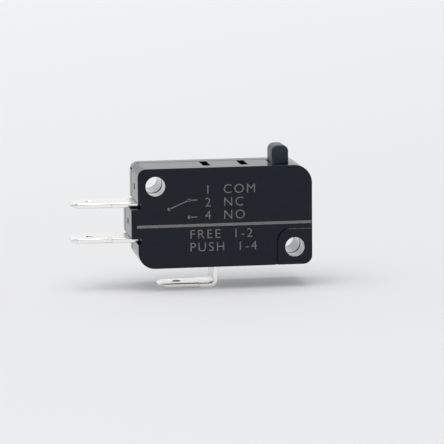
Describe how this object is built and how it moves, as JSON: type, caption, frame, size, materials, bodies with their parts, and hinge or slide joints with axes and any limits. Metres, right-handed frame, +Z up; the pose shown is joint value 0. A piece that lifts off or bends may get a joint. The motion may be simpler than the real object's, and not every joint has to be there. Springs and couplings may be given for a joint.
{
  "type": "snap-action micro switch",
  "caption": "Flat black snap-action switch with a round-topped push plunger, flat plug-on tabs at one end and below, and through mounting holes in opposite corners.",
  "frame": {"origin": "On the axis of the lower mounting hole, half way between the printed face and the rear face.", "axes": "+X along the body away from the side tabs, +Y from the printed face to the rear face, +Z up, the way the plunger stands out."},
  "size_m": [0.038, 0.0104, 0.0224],
  "materials": {
    "housing": "black glass-filled polyester moulding with a fine satin texture",
    "button": "black moulded plastic, satin",
    "terminal": "stamped brass strip with bright tin plating",
    "contact": "silver alloy rivet",
    "blade": "rolled copper alloy strip",
    "lever": "plated steel stamping",
    "spring": "drawn stainless spring wire"
  },
  "bodies": {
    "housing": {"case": "housing", "cover": "housing", "com_terminal": "terminal", "nc_terminal": "terminal", "no_terminal": "terminal", "nc_contact": "contact", "no_contact": "contact"},
    "button": {"plunger": "button"},
    "lever": {"actuating_lever": "lever"},
    "blade": {"contact_blade": "blade", "moving_contact": "contact"},
    "spring": {"snap_spring": "spring"}
  },
  "joints": [
    {"name": "plunger_slide", "type": "slide", "parent": "housing", "child": "button", "axis": [0, 0, -1], "range_m": [0, 0.0022], "stiffness_N_per_m": 500, "springref_m": -0.003, "deforming": ["snap_spring"]},
    {"name": "lever_pivot", "type": "hinge", "parent": "housing", "child": "lever", "pos_m": [-0.01204, 0, 0.00295], "axis": [0, 1, 0], "range_deg": [0, 11.91]},
    {"name": "blade_pivot", "type": "hinge", "parent": "housing", "child": "blade", "pos_m": [-0.01284, 0, 0.00435], "axis": [0, -1, 0], "range_deg": [0, 5.25]},
    {"name": "spring_swing", "type": "hinge", "parent": "blade", "child": "spring", "pos_m": [-0.01674, 0, 0.00453], "axis": [0, 1, 0], "range_deg": [0, 10.69]}
  ],
  "couplings": [
    {"joint": "lever_pivot", "follows": "plunger_slide", "rad_per_m": 94.406},
    {"joint": "blade_pivot", "follows": "plunger_slide", "rad_per_m": 41.58},
    {"joint": "spring_swing", "follows": "plunger_slide", "rad_per_m": 84.7}
  ]
}
